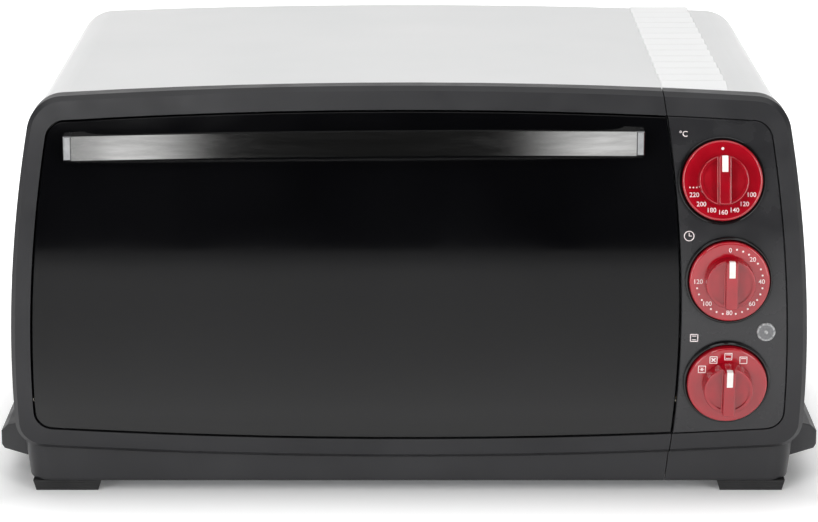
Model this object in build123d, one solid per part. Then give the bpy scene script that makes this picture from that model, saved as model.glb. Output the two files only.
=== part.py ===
from build123d import *
import math
import os

# Countertop oven with a drop-down glass door.
# X is the width, Y runs from the front to the back, Z is up, all in millimetres.
# The origin is on the table, under the middle of the oven.

os.makedirs("parts", exist_ok=True)

# Overall size
overall_width = 475.0
overall_depth = 360.0
foot_height = 6.5

# Widths that follow the overall width
grip_reach = 22.5
moulding_side = 11.5
moulding_half = overall_width / 2 - moulding_side
wrapper_half = overall_width / 2 - grip_reach
control_width = 72.5
split_x = moulding_half - control_width

# Bowed front: a cylinder lying along X
bulge_radius = 320.0
bulge_z = 112.0

# Knobs stand further forward than anything else
knob_places = {"temperature": (moulding_half - 50.2, 186.0), "timer": (moulding_half - 45.7, 130.5),
               "function": (moulding_half - 45.5, 70.4)}
dial_height = 5.5
knob_radius = 13.6
knob_height = 13.5
knob_gap = 0.3
knob_round = 0.7
timer_lean = math.asin((knob_places["timer"][1] - bulge_z) / bulge_radius)
knob_reach = dial_height + knob_gap + knob_height
knob_lead = (knob_reach - knob_round) * math.cos(timer_lean) + knob_round
knob_lead += (knob_radius - knob_round) * math.sin(timer_lean) - bulge_radius * (1 - math.cos(timer_lean))
apex_y = -overall_depth / 2 + knob_lead
moulding_depth = 37.5
back_y = apex_y + moulding_depth

# Outline of the front moulding, a screen shape with four bowed sides
moulding_wall = 3.0
moulding_top = 236.7
moulding_bottom = 21.6
moulding_top_round = 20.0
moulding_bottom_round = 16.0
moulding_chamfer = 2.6
top_sweep = 3400.0
side_sweep = 939.0
bottom_sweep = 3300.0
widest_z = 72.0

# Opening in the moulding for the door and the control plate
rim_top = 12.4
rim_side = 11.1
rim_bottom = 12.3
opening_top = moulding_top - rim_top
opening_bottom = moulding_bottom + rim_bottom
opening_half = moulding_half - rim_side
opening_round = 11.0
panel_gap = 1.0
edge_break = 0.5

# Bowed line between the door side and the control side
split_z = 105.0
split_sweep = 800.0
split_gap = 0.5

# Skirt under the moulding
skirt_bottom = foot_height
skirt_top = 45.0
skirt_low_half = moulding_half - 6.5
skirt_high_half = moulding_half - 1.4
skirt_setback = 16.5
skirt_corner = 14.0
skirt_edge = 2.0
skirt_y = apex_y + skirt_setback

# Painted wrapper
sheet = 1.0
wrapper_top = 234.2
wrapper_bottom = 11.0
wrapper_crown = 5000.0
wrapper_round = 22.0
pan_inset = 8.0
rear_gap = 15.0
wrapper_back = overall_depth / 2 - rear_gap
seat_gap = 0.1

# Raised louvres in the wrapper
louvre_left = moulding_half - 82.0
louvre_right = moulding_half - 44.0
louvre_pitch = 20.0
louvre_gap = 4.0
louvre_rise = 2.4
louvre_front = back_y + 5.0
louvre_count = int((wrapper_back - louvre_front) / louvre_pitch)

# Oven cavity
cavity_left = -wrapper_half + 29.0
cavity_right = split_x - 25.5
cavity_floor = 52.0
cavity_ceiling = 200.0
cavity_front = back_y
cavity_back = wrapper_back - 26.0

# Door
glass_thickness = 4.0
frame_left = cavity_left - 12.0
frame_right = cavity_right + 11.0
frame_low = 50.0
frame_high = 200.0
frame_back = apex_y + 20.0
window_margin = 14.0
running = 0.05

# Hinge: pins behind the low edge of the glass, so that this edge swings inward
hinge_z = 57.0
pin_inset = 7.8
pin_radius = 1.75
bush_wall = 1.6
bush_length = 5.6
boss_wall = 2.0
arm_thickness = 1.5
arm_low = 51.5
arm_high = 80.0

# Handle
handle_left = -moulding_half + 32.6
handle_right = split_x - 21.8
handle_high = 217.6
handle_height = 13.8
handle_lead = 9.0
handle_strap = 4.0
handle_end_depth = 12.0
handle_foot = 11.0
handle_blend = 46.0
cap_width = 4.5
cap_edge = 0.6
screw_radius = 2.0

# Controls
plate_thickness = 3.0
seat_wall = 2.5
ring_radius = 24.6
ring_wall = 1.5
ring_height = 2.2
dial_radius = 22.7
dial_wall = 1.6
knob_base_radius = 14.3
rib_width = 6.6
rib_depth = 5.0
pocket_rim = 1.8
pocket_depth = 0.9
pointer_width = 3.4
pointer_inner = 4.6
pointer_drop = 4.0
pointer_depth = 0.9
shaft_radius = 3.0
bracket_inset = 14.0
bracket_sheet = 1.5
bracket_left = split_x + 6.5
bracket_right = moulding_half - 21.0
bracket_low = 44.0
bracket_high = 214.0
lens_x = moulding_half - 24.0
lens_z = 100.3
lens_radius = 5.4
lens_stem = 3.2

# Racks
rail_ledge = 7.0
rack_z = 92.0
tray_z = 132.0
wire_radius = 1.5
rack_setback = 7.0
rack_side_gap = 3.0
rack_wires = 17
tray_depth = 16.0
tray_margin = 12.0

# Heating elements
rod_radius = 3.25
upper_rod_z = 186.0
lower_rod_z = 66.0
rod_spread = (cavity_back - cavity_front) / 2 - 69.0
rod_left = cavity_left + 22.0
rod_bend = 30.0
insulator_radius = 6.5
insulator_length = 12.0

# Fan beside the cavity
fan_y = cavity_back - 99.0
fan_z = 125.0
fan_housing_radius = 50.0
fan_housing_depth = 18.0
fan_radius = 42.0
fan_shaft_radius = 2.0
motor_radius = 19.0
motor_length = 26.0

# Heat shield between the cavity and the controls
shield_x = cavity_right + 8.0

# Base and grips
pan_z = 10.0
pan_rim = 15.0
foot_width = 39.0
foot_depth = 32.0
foot_taper = 1.6
foot_inset = 2.0
grip_length = wrapper_back - back_y - 68.0
grip_wall = 3.0
grip_low = 13.5
grip_high = 39.5


def block(x0, x1, y0, y1, z0, z1):
    """A block between two opposite corners."""
    middle = Pos((x0 + x1) / 2, (y0 + y1) / 2, (z0 + z1) / 2)
    return middle * Box(x1 - x0, y1 - y0, z1 - z0)


def rod_x(x0, x1, y, z, radius):
    """A round bar along X."""
    return Pos((x0 + x1) / 2, y, z) * Rot(0, 90, 0) * Cylinder(radius, x1 - x0)


def rod_y(x, y0, y1, z, radius):
    """A round bar along Y."""
    return Pos(x, (y0 + y1) / 2, z) * Rot(90, 0, 0) * Cylinder(radius, y1 - y0)


def rod_z(x, y, z0, z1, radius):
    """A round bar along Z."""
    return Pos(x, y, (z0 + z1) / 2) * Cylinder(radius, z1 - z0)


def slab(face, y_back, y_front):
    """A front-view outline made thick between two depths."""
    return extrude(Plane.XZ.offset(-y_back) * face, y_back - y_front)


def slab_x(face, x0, x1):
    """A side-view outline, drawn as (Y, Z), made thick between two widths."""
    return extrude(Plane.YZ.offset(x0) * face, x1 - x0)


def polygon(points):
    return make_face(Polyline(*points, close=True))


def bulge(inset):
    """The bowed front as a solid cylinder, moved in by inset."""
    centre = Pos(0, apex_y + bulge_radius, bulge_z)
    return centre * Rot(0, 90, 0) * Cylinder(bulge_radius - inset, 2 * overall_width)


def front_y(z, inset=0.0):
    """Depth of the bowed front at a height."""
    radius = bulge_radius - inset
    return apex_y + bulge_radius - math.sqrt(radius**2 - (z - bulge_z) ** 2)


def screen(top, bottom, half_width, top_round, bottom_round):
    """Front view of a rounded screen shape with four bowed sides."""

    def side_x(z):
        return half_width - (z - widest_z) ** 2 / (2 * side_sweep)

    z_high = top - side_x(top) ** 2 / (2 * top_sweep)
    z_low = bottom + side_x(bottom) ** 2 / (2 * bottom_sweep)
    x_high = side_x(z_high)
    x_low = side_x(z_low)
    z_mid = (z_high + z_low) / 2
    x_mid = side_x(z_mid)
    outline = ThreePointArc((-x_high, z_high), (0, top), (x_high, z_high))
    outline += ThreePointArc((x_high, z_high), (x_mid, z_mid), (x_low, z_low))
    outline += ThreePointArc((x_low, z_low), (0, bottom), (-x_low, z_low))
    outline += ThreePointArc((-x_low, z_low), (-x_mid, z_mid), (-x_high, z_high))
    face = make_face(outline)
    corners = face.vertices().sort_by(Axis.Y)
    face = fillet(corners[2:], top_round)
    corners = face.vertices().sort_by(Axis.Y)
    return fillet(corners[:2], bottom_round)


def moulding_outline(grow=0.0):
    return screen(moulding_top + grow, moulding_bottom - grow, moulding_half + grow,
                  moulding_top_round + grow, moulding_bottom_round + grow)


def opening_outline(grow=0.0):
    return screen(opening_top + grow, opening_bottom - grow, opening_half + grow,
                  opening_round + grow, opening_round + grow)


def split_at(z):
    return split_x - (z - split_z) ** 2 / (2 * split_sweep)


def side_of_split(side, gap):
    """Everything left (-1) or right (+1) of the split line, kept gap away from it."""
    low_z = -20.0
    high_z = moulding_top + 20.0
    shift = side * gap
    far_x = side * overall_width
    low = (split_at(low_z) + shift, low_z)
    high = (split_at(high_z) + shift, high_z)
    outline = ThreePointArc(low, (split_x + shift, split_z), high)
    outline += Polyline(high, (far_x, high_z), (far_x, low_z), low)
    return slab(make_face(outline), overall_depth / 2, -overall_depth)


def control_frame(x, z):
    """Plane on the bowed front, with z pointing out of it."""
    lean = math.asin((z - bulge_z) / bulge_radius)
    return Plane(origin=(x, front_y(z), z), x_dir=(1, 0, 0),
                 z_dir=(0, -math.cos(lean), math.sin(lean)))


def stub(radius, w0, w1):
    """A round bar along the local z of a control."""
    return Pos(0, 0, (w0 + w1) / 2) * Cylinder(radius, w1 - w0)


nodes = {}

# Front moulding: bezel and skirt
front_limit = apex_y - 10.0
bezel = slab(moulding_outline(), back_y, front_limit) & bulge(0)
bezel_face = bezel.faces().sort_by(Axis.Y)[0]
bezel = chamfer(bezel_face.edges(), moulding_chamfer)

skirt_outline = polygon([(-skirt_low_half, skirt_bottom), (skirt_low_half, skirt_bottom),
                         (skirt_high_half, skirt_top), (-skirt_high_half, skirt_top)])
skirt = slab(skirt_outline, back_y, skirt_y)
skirt_corners = skirt.edges().filter_by(
    lambda edge: abs(edge.center().Y - skirt_y) < 0.01 and abs(edge.center().X) > skirt_low_half / 2)
skirt = fillet(skirt_corners, skirt_corner)
skirt_rims = skirt.edges().filter_by(
    lambda edge: edge.center().Z < skirt_bottom + 0.01 and edge.center().Y < back_y - 0.01)
skirt = fillet(skirt_rims, skirt_edge)

hollow = slab(moulding_outline(-moulding_wall), back_y - moulding_wall, front_limit) & bulge(moulding_wall)
skirt_hollow_outline = polygon([
    (-skirt_low_half + moulding_wall, skirt_bottom - 1), (skirt_low_half - moulding_wall, skirt_bottom - 1),
    (skirt_high_half - moulding_wall, skirt_top), (-skirt_high_half + moulding_wall, skirt_top)])
skirt_hollow = slab(skirt_hollow_outline, back_y + 1, skirt_y + moulding_wall)
skirt_hollow_corners = skirt_hollow.edges().filter_by(
    lambda edge: abs(edge.center().Y - skirt_y - moulding_wall) < 0.01 and abs(edge.center().X) > skirt_low_half / 2)
skirt_hollow = fillet(skirt_hollow_corners, skirt_corner - moulding_wall)

opening = slab(opening_outline(), back_y + 1, front_limit)
jamb_depth = 8.0
jamb_wall = 2.5
jamb = slab(opening_outline(jamb_wall), back_y - jamb_depth, front_limit) & bulge(moulding_chamfer)
jamb -= block(-overall_width, overall_width, front_limit, back_y, 0, skirt_top)
moulding = bezel + skirt - hollow - skirt_hollow + jamb - opening

# Hinge axis, and the boss in the left jamb that holds its bush
hinge_y = front_y(hinge_z) + pin_inset
bush_radius = pin_radius + running + bush_wall
bush_boss_radius = bush_radius + boss_wall
jamb_x = -opening_half + (hinge_z - widest_z) ** 2 / (2 * side_sweep)
left_boss = rod_x(jamb_x - bush_length, jamb_x, hinge_y, hinge_z, bush_boss_radius) & bulge(moulding_wall / 2)
frame_left_part = (moulding & side_of_split(-1, split_gap / 2)) + left_boss
frame_left_part -= rod_x(jamb_x - bush_length - 1, jamb_x + 1, hinge_y, hinge_z, bush_radius)
nodes["front_frame_left"] = frame_left_part

# Seat behind the control plate, with a wall down the split line
seat_inset = plate_thickness + seat_gap
seat = slab(opening_outline(0.5), back_y, front_limit) & (bulge(seat_inset) - bulge(seat_inset + seat_wall))
seat = seat & side_of_split(1, split_gap)
mullion = slab(opening_outline(0.5), back_y, front_limit) & bulge(seat_inset)
mullion = mullion & side_of_split(1, split_gap) & side_of_split(-1, -split_gap - seat_wall)
frame_right_part = (moulding & side_of_split(1, split_gap / 2)) + seat + mullion
mullion_x = split_at(hinge_z) + split_gap
right_boss = rod_x(mullion_x, mullion_x + bush_length, hinge_y, hinge_z, bush_boss_radius) & bulge(seat_inset)
frame_right_part += right_boss & side_of_split(1, split_gap)
frame_right_part -= rod_x(mullion_x - 1, mullion_x + bush_length + 1, hinge_y, hinge_z, bush_radius)
shaft_hole = shaft_radius + running
hub_radius = 7.0
for x, z in knob_places.values():
    frame_right_part -= control_frame(x, z) * stub(hub_radius, -12, 6)
boss_radius = 3.0
boss_edge = 4.5
boss_mid_z = (knob_places["temperature"][1] + knob_places["timer"][1]) / 2
for boss_x in (bracket_left + boss_edge, bracket_right - boss_edge):
    for boss_z in (bracket_low + boss_edge, boss_mid_z, bracket_high - boss_edge):
        boss = control_frame(boss_x, boss_z) * stub(boss_radius, -bracket_inset - 2, -seat_inset - 1)
        frame_right_part += boss & bulge(seat_inset) - bulge(bracket_inset)
frame_right_part -= control_frame(lens_x, lens_z) * stub(lens_stem + running, -12, 6)
nodes["front_frame_right"] = frame_right_part

# Control plate with its three dial holes and the lens hole
plate = slab(opening_outline(-panel_gap / 2), back_y, front_limit) & (bulge(0) - bulge(plate_thickness))
plate = plate & side_of_split(1, split_gap)
for x, z in knob_places.values():
    plate -= control_frame(x, z) * stub(ring_radius + seat_gap, -8, 8)
plate -= control_frame(lens_x, lens_z) * stub(lens_radius + seat_gap, -8, 8)
plate_rim = plate.faces().sort_by(Axis.Y)[0].outer_wire().edges()
nodes["control_plate"] = chamfer(plate_rim, edge_break)

# Dials, rings, knobs, pointers and shafts
behind_plate = bulge(seat_inset - 0.02)
rings = []
for name, (x, z) in knob_places.items():
    place = control_frame(x, z)
    ring = stub(ring_radius, -6, ring_height) - stub(ring_radius - ring_wall, -7, 7)
    ring = chamfer(ring.edges().sort_by(Axis.Z)[-2:], 0.5)
    rings.append(place * ring - behind_plate)
    dial = stub(dial_radius, -6, dial_height)
    dial = fillet(dial.edges().sort_by(Axis.Z)[-1:], 1.4)
    dial -= stub(dial_radius - dial_wall, -7, dial_height - dial_wall)
    dial += stub(shaft_radius + 2.0, -6, dial_height - dial_wall / 2)
    dial -= stub(shaft_hole, -7, 7)
    nodes[name + "_dial"] = place * dial - behind_plate
    knob_low = dial_height + knob_gap
    knob_high = knob_low + knob_height
    grip = Pos(0, 0, (knob_low + knob_high) / 2) * Cone(knob_base_radius, knob_radius, knob_height)
    for side in (-1, 1):
        cut = Pos(side * (rib_width / 2 + 10), 0, knob_high - rib_depth + 10) * Box(20, 40, 20)
        grip -= cut
    rims = grip.edges().filter_by(lambda edge: edge.center().Z > knob_high - rib_depth - 0.01)
    grip = fillet(rims, knob_round)
    shelf = knob_high - rib_depth
    for side in (-1, 1):
        pocket = stub(knob_radius - pocket_rim, shelf - pocket_depth, shelf + 1)
        pocket &= Pos(side * (rib_width / 2 + pocket_rim / 2 + 10), 0, shelf) * Box(20, 40, 20)
        grip -= pocket
    knob_edge = knob_radius + 0.5
    groove = Pos(0, (pointer_inner + knob_edge) / 2, knob_high - pointer_depth / 2)
    groove = groove * Box(pointer_width, knob_edge - pointer_inner, pointer_depth)
    tip_low = knob_high - pointer_drop
    tip = Pos(0, knob_edge - pointer_depth, (tip_low + knob_high) / 2)
    tip = tip * Box(pointer_width, pointer_depth * 2, pointer_drop)
    insert = groove + tip
    shaft = stub(shaft_radius, -bracket_inset - 12, knob_low + knob_height / 2)
    grip = grip - insert - stub(shaft_radius, 0, knob_low + knob_height / 2)
    insert = insert & stub(knob_radius + 0.1, 0, knob_high + 1)
    nodes[name + "_knob"] = place * grip
    nodes[name + "_pointer"] = place * insert
    nodes[name + "_shaft"] = place * shaft
nodes["dial_rings"] = Compound(rings)

# Curved bracket that carries the three controls
bracket = block(bracket_left, bracket_right, front_limit, back_y, bracket_low, bracket_high)
bracket = bracket & (bulge(bracket_inset) - bulge(bracket_inset + bracket_sheet))
control_bodies = {"temperature": ("thermostat_body", 30.0, 34.0, 22.0),
                  "timer": ("timer_body", 38.0, 38.0, 26.0),
                  "function": ("selector_switch", 34.0, 30.0, 24.0)}
behind_bracket = bulge(bracket_inset + bracket_sheet + seat_gap)
tab_offset = 6.0
tab_width = 6.0
tab_thickness = 0.8
tab_length = 7.0
for key, (name, wide, tall, deep) in control_bodies.items():
    x, z = knob_places[key]
    place = control_frame(x, z)
    bracket -= place * stub(shaft_radius + 1.0, -bracket_inset - 5, 0)
    front_w = -bracket_inset
    body = Pos(0, 0, front_w - deep / 2) * Box(wide, tall, deep)
    body = fillet(body.edges().filter_by(Axis.Z), 2.0)
    for row in (-1, 1):
        for column in (-1, 1):
            tab = Pos(column * tab_offset, row * tab_offset, front_w - deep - tab_length / 2 + 1)
            body += tab * Box(tab_width, tab_thickness, tab_length + 2)
    body -= stub(shaft_hole, front_w - 12.5, 0)
    nodes[name] = place * body & behind_bracket
bracket -= control_frame(lens_x, lens_z) * stub(lens_stem, -bracket_inset - 5, 0)
nodes["control_bracket"] = bracket

# Bell behind the timer
timer_frame = control_frame(*knob_places["timer"])
bell_low = -bracket_inset - control_bodies["timer"][3] - 11
bell_radius = 14.0
bell_wall = 1.2
bell_round = 5.0
bell = stub(bell_radius, bell_low, bell_low + 8)
bell = fillet(bell.edges().sort_by(Axis.Z)[:1], bell_round)
bell_inside = stub(bell_radius - bell_wall, bell_low + bell_wall, bell_low + 9)
bell -= fillet(bell_inside.edges().sort_by(Axis.Z)[:1], bell_round - bell_wall)
bell += stub(2.0, bell_low, -bracket_inset - control_bodies["timer"][3])
nodes["timer_bell"] = timer_frame * bell

# Indicator: clear lens in the plate and a neon lamp behind it
lens_place = control_frame(lens_x, lens_z)
lens = stub(lens_radius, -seat_inset, 1.2)
lens = fillet(lens.edges().sort_by(Axis.Z)[-1:], 0.8)
lens += stub(lens_stem, -bracket_inset + 4, -seat_inset)
nodes["indicator_lens"] = lens_place * lens
lamp = stub(2.4, -bracket_inset - 8, -bracket_inset + 4 - seat_gap)
lamp += stub(lens_stem + 1.5, -bracket_inset - bracket_sheet - 6, -bracket_inset - bracket_sheet - 0.2)
nodes["indicator_lamp"] = lens_place * lamp

# Painted wrapper with its raised louvres


def wrapper_outline(inset, bottom):
    half = wrapper_half - inset
    top = wrapper_top - inset
    shoulder = top - half**2 / (2 * wrapper_crown)
    outline = ThreePointArc((-half, shoulder), (0, top), (half, shoulder))
    outline += Polyline((half, shoulder), (half, bottom), (-half, bottom), (-half, shoulder))
    face = make_face(outline)
    corners = face.vertices().sort_by(Axis.Y)
    return fillet(corners[2:], wrapper_round - inset)


wrapper = slab(wrapper_outline(0, wrapper_bottom), wrapper_back, back_y)
wrapper -= slab(wrapper_outline(sheet, wrapper_bottom + sheet), wrapper_back + 1, back_y - 1)
lip_x = wrapper_half - pan_inset
wrapper -= block(-lip_x, lip_x, back_y - 1, wrapper_back + 1, wrapper_bottom - 1, wrapper_bottom + 2)
louvre_middle = (louvre_left + louvre_right) / 2
louvre_base = wrapper_top - louvre_middle**2 / (2 * wrapper_crown)
louvre_run = louvre_pitch - louvre_gap
for index in range(louvre_count):
    y0 = louvre_front + index * louvre_pitch
    y1 = y0 + louvre_run
    crest = louvre_base + louvre_rise
    wedge = slab_x(polygon([(y0, louvre_base - 0.6), (y1 - 1.2, crest), (y1, crest),
                            (y1, louvre_base - 0.6)]), louvre_left, louvre_right)
    wedge = chamfer(wedge.edges().filter_by(
        lambda edge: abs(edge.center().X - louvre_middle) > 10 and edge.center().Z > louvre_base), 0.6)
    slot = slab_x(polygon([(y0 + 6, louvre_base - 2), (y0 + 6, louvre_base - 0.7),
                           (y1 - 1.2, crest - sheet), (y1 + 1, crest - sheet), (y1 + 1, louvre_base - 0.4),
                           (y1 - 1, louvre_base - 2)]), louvre_left + 1.2, louvre_right - 1.2)
    wrapper = wrapper + wedge - slot
side_slot_count = 12
side_slot_pitch = 12.0
side_slot_width = 4.0
side_slot_height = 36.0
side_slot_start = back_y + 63.0
for index in range(side_slot_count):
    y = side_slot_start + index * side_slot_pitch
    for z in (60.0, 150.0):
        wrapper -= block(wrapper_half - 3, wrapper_half + 3, y, y + side_slot_width, z, z + side_slot_height)
nodes["outer_wrapper"] = wrapper

# Rear panel with vent slots, and the gland for a mains lead
gland_x = wrapper_half - 43.0
gland_z = 42.0
gland_radius = 7.0
gland_bore = 3.6
gland_flange = 4.0
panel_rows = 5
panel_columns = 9
panel = slab(wrapper_outline(sheet + seat_gap, wrapper_bottom + sheet + seat_gap),
             wrapper_back, wrapper_back - sheet)
for row in range(panel_rows):
    for column in range(panel_columns):
        x = -wrapper_half + 65.0 + column * 34.0
        z = wrapper_top - 64.2 + row * 9.0
        panel -= block(x, x + 24, wrapper_back - 3, wrapper_back + 3, z, z + 3)
panel -= rod_y(gland_x, wrapper_back - 3, wrapper_back + 3, gland_z, gland_radius)
gland = rod_y(gland_x, wrapper_back - 8, wrapper_back + 9, gland_z, gland_radius)
gland += rod_y(gland_x, wrapper_back, wrapper_back + 4, gland_z, gland_radius + gland_flange)
gland -= rod_y(gland_x, wrapper_back - 9, wrapper_back + 10, gland_z, gland_bore)
nodes["cord_gland"] = gland

# Rear spacers keep the oven off the wall
spacers = []
for x in (-wrapper_half + 65.0, wrapper_half - 95.0):
    spacer = block(x - 20, x + 20, wrapper_back, overall_depth / 2, 120, 136)
    spacer = fillet(spacer.edges().filter_by(Axis.Z), 3.0)
    spacer -= block(x - 16, x + 16, wrapper_back - 1, overall_depth / 2 - 3, 123, 133)
    spacers.append(spacer)
nodes["rear_spacers"] = Compound(spacers)

# Base pan with a turned-up rim, and its vent slots
pan_half = wrapper_half - sheet - seat_gap
pan_front = skirt_y + moulding_wall + seat_gap
pan_back = wrapper_back - sheet - seat_gap
rim_front = cavity_front + sheet + seat_gap
pan = block(-pan_half, pan_half, pan_front, pan_back, pan_z, pan_z + sheet)
rim_half = lip_x - seat_gap
rim = block(-rim_half, rim_half, rim_front, pan_back, pan_z, pan_z + pan_rim)
rim -= block(-rim_half + sheet, rim_half - sheet, rim_front - 1, pan_back - sheet, pan_z - 1, pan_z + pan_rim + 1)
pan += rim
for side in (-1, 1):
    near = side * (lip_x - 0.5)
    far = side * (pan_half + 1)
    pan -= block(min(near, far), max(near, far), pan_front - 1, rim_front, pan_z - 1, pan_z + 2)
pan_slot_front = cavity_front + 63.0
pan_slot_back = cavity_back - 79.0
for column in range(10):
    x = cavity_left + 66.0 + column * 20.0
    pan -= block(x, x + 4, pan_slot_front, pan_slot_back, pan_z - 1, pan_z + 2)

# Feet
front_feet = []
rear_feet = []
foot_top = pan_z
for side in (-1, 1):
    outer_x = side * (skirt_low_half - foot_inset)
    inner_x = outer_x - side * foot_width
    x0 = min(outer_x, inner_x)
    x1 = max(outer_x, inner_x)
    for group, y0 in ((front_feet, skirt_y + foot_inset), (rear_feet, pan_back - foot_depth - 8)):
        low = Plane.XY * Pos((x0 + x1) / 2, y0 + foot_depth / 2) * Rectangle(
            foot_width - 2 * foot_taper, foot_depth - 2 * foot_taper)
        high = Plane.XY.offset(foot_height) * Pos((x0 + x1) / 2, y0 + foot_depth / 2) * Rectangle(
            foot_width, foot_depth)
        foot = loft([low.face(), high.face()])
        foot += block(x0 + 9, x1 - 9, y0 + 5, y0 + foot_depth - 3, foot_height - 1, foot_top)
        group.append(foot)
nodes["front_feet"] = Compound(front_feet)
nodes["rear_feet"] = Compound(rear_feet)

# Carrying grips low on both sides, hollow underneath for the fingers
grip_outer = overall_width / 2
grip_front = back_y + seat_gap
for name, side in (("side_grip_left", -1), ("side_grip_right", 1)):
    inner = side * wrapper_half
    outer = side * grip_outer
    section = polygon([(inner, grip_low), (outer - side * 1.5, grip_low + 6.5), (outer, grip_low + 9.0),
                       (outer, grip_low + 17.0), (outer - side * 3.5, grip_low + 20.5),
                       (inner + side * 6.0, grip_high - 2.5), (inner, grip_high)])
    ledge = slab(section, grip_front + grip_length, grip_front)
    ledge = chamfer(ledge.faces().sort_by(Axis.Y)[0].edges().filter_by(
        lambda edge: abs(edge.center().X) > wrapper_half + 0.1), edge_break)
    pocket_inner = inner + side * grip_wall
    pocket_outer = outer - side * grip_wall
    pocket = block(min(pocket_inner, pocket_outer), max(pocket_inner, pocket_outer),
                   grip_front + 12, grip_front + grip_length - 12, 10, 28)
    nodes[name] = ledge - pocket

# Cavity liner with its front flange; its right wall is pierced for the fan
flange_low = wrapper_bottom + sheet + seat_gap
flange = slab(wrapper_outline(sheet + 0.5, flange_low), cavity_front + sheet, cavity_front)
flange -= block(cavity_right + 14, wrapper_half, cavity_front - 1, cavity_front + 2, flange_low - 1, moulding_top)
liner_outer = block(cavity_left - sheet, cavity_right + sheet, cavity_front, cavity_back,
                    cavity_floor - sheet, cavity_ceiling + sheet)
liner = flange + liner_outer
liner -= block(cavity_left, cavity_right, cavity_front - 1, cavity_back + 1, cavity_floor, cavity_ceiling)
for ring_index, (count, hole_ring) in enumerate(((1, 0.0), (6, 9.0), (12, 18.0), (24, 40.0))):
    for index in range(count):
        turn = 2 * math.pi * index / count
        y = fan_y + hole_ring * math.cos(turn)
        z = fan_z + hole_ring * math.sin(turn)
        liner -= rod_x(cavity_right - 1, cavity_right + 2, y, z, 2.4)
rod_mid = (cavity_front + cavity_back) / 2 - 8.0
rod_ys = (rod_mid - rod_spread, rod_mid + rod_spread)
for z in (upper_rod_z, lower_rod_z):
    for y in rod_ys:
        liner -= rod_x(cavity_right - 1, cavity_right + 2, y, z, insulator_radius - 2 + seat_gap)
sensor_y = cavity_front + 39.0
sensor_z = 178.0
liner -= rod_x(cavity_right - 1, cavity_right + 2, sensor_y, sensor_z, 1.6)
nodes["cavity_liner"] = liner
back_wall = block(cavity_left - sheet - 6, cavity_right + sheet, cavity_back, cavity_back + sheet,
                  cavity_floor - sheet - 6, cavity_ceiling + sheet + 6)
nodes["cavity_back_wall"] = back_wall

# Rack guides: two ledges on each wall
for name, wall_x, inward in (("rack_guide_left", cavity_left, 1), ("rack_guide_right", cavity_right, -1)):
    y0 = cavity_front + 6
    y1 = cavity_back - 8
    guide = None
    for level in (rack_z, tray_z):
        low = level - wire_radius - 0.3 - sheet
        parts = [block(min(wall_x, wall_x + inward * rail_ledge), max(wall_x, wall_x + inward * rail_ledge),
                       y0, y1, low, low + sheet),
                 block(min(wall_x, wall_x + inward * sheet), max(wall_x, wall_x + inward * sheet),
                       y0, y1, low, low + 6)]
        for part in parts:
            guide = part if guide is None else guide + part
    for y in (y0, y1 - 8):
        low = rack_z - wire_radius - 0.3 - sheet
        high = tray_z - wire_radius - 0.3
        guide += block(min(wall_x, wall_x + inward * sheet), max(wall_x, wall_x + inward * sheet),
                       y, y + 8, low, high)
    nodes[name] = guide

# Wire rack, and the baking tray that stands on it
rack_left = cavity_left + rack_side_gap
rack_right = cavity_right - rack_side_gap
rack_front = cavity_front + rack_setback
rack_back = cavity_back - 12
rack = rod_x(rack_left, rack_right, rack_front + wire_radius, rack_z, wire_radius)
rack += rod_x(rack_left, rack_right, rack_back - wire_radius, rack_z, wire_radius)
rack += rod_y(rack_left + wire_radius, rack_front, rack_back, rack_z, wire_radius)
rack += rod_y(rack_right - wire_radius, rack_front, rack_back, rack_z, wire_radius)
for index in range(rack_wires):
    x = rack_left + (index + 1) * (rack_right - rack_left) / (rack_wires + 1)
    rack += rod_y(x, rack_front + wire_radius, rack_back - wire_radius, rack_z, 1.1)
rack += rod_x(rack_left, rack_right, (rack_front + rack_back) / 2, rack_z, wire_radius)
nodes["wire_rack"] = rack
tray_base = rack_z + wire_radius
tray_outer = block(rack_left + tray_margin, rack_right - tray_margin, rack_front + tray_margin,
                   rack_back - tray_margin, tray_base, tray_base + tray_depth)
tray_outer = fillet(tray_outer.edges().filter_by(Axis.Z), 14.0)
tray_inner = block(rack_left + tray_margin + sheet, rack_right - tray_margin - sheet,
                   rack_front + tray_margin + sheet, rack_back - tray_margin - sheet,
                   tray_base + sheet, tray_base + tray_depth + 1)
tray_inner = fillet(tray_inner.edges().filter_by(Axis.Z), 13.0)
tray_rim = block(rack_left + tray_margin - 5, rack_right - tray_margin + 5, rack_front + tray_margin - 5,
                 rack_back - tray_margin + 5, tray_base + tray_depth - sheet, tray_base + tray_depth)
tray_rim = fillet(tray_rim.edges().filter_by(Axis.Z), 19.0)
nodes["baking_tray"] = tray_outer + tray_rim - tray_inner

# Crumb tray on the cavity floor
crumb = block(cavity_left + 6, cavity_right - 6, cavity_front + 6, cavity_back - 10,
              cavity_floor, cavity_floor + 6)
crumb -= block(cavity_left + 7, cavity_right - 7, cavity_front + 7, cavity_back - 11,
               cavity_floor + sheet, cavity_floor + 7)
nodes["crumb_tray"] = crumb

# Heating elements: a hairpin over and under the food


def heater(z):
    end_x = cavity_right + sheet + insulator_length
    near, far = rod_ys
    path = FilletPolyline((end_x, near, z), (rod_left, near, z), (rod_left, far, z),
                          (end_x, far, z), radius=rod_bend)
    profile = Plane(origin=(end_x, near, z), z_dir=(-1, 0, 0)) * Circle(rod_radius)
    return sweep(profile, path)


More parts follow.
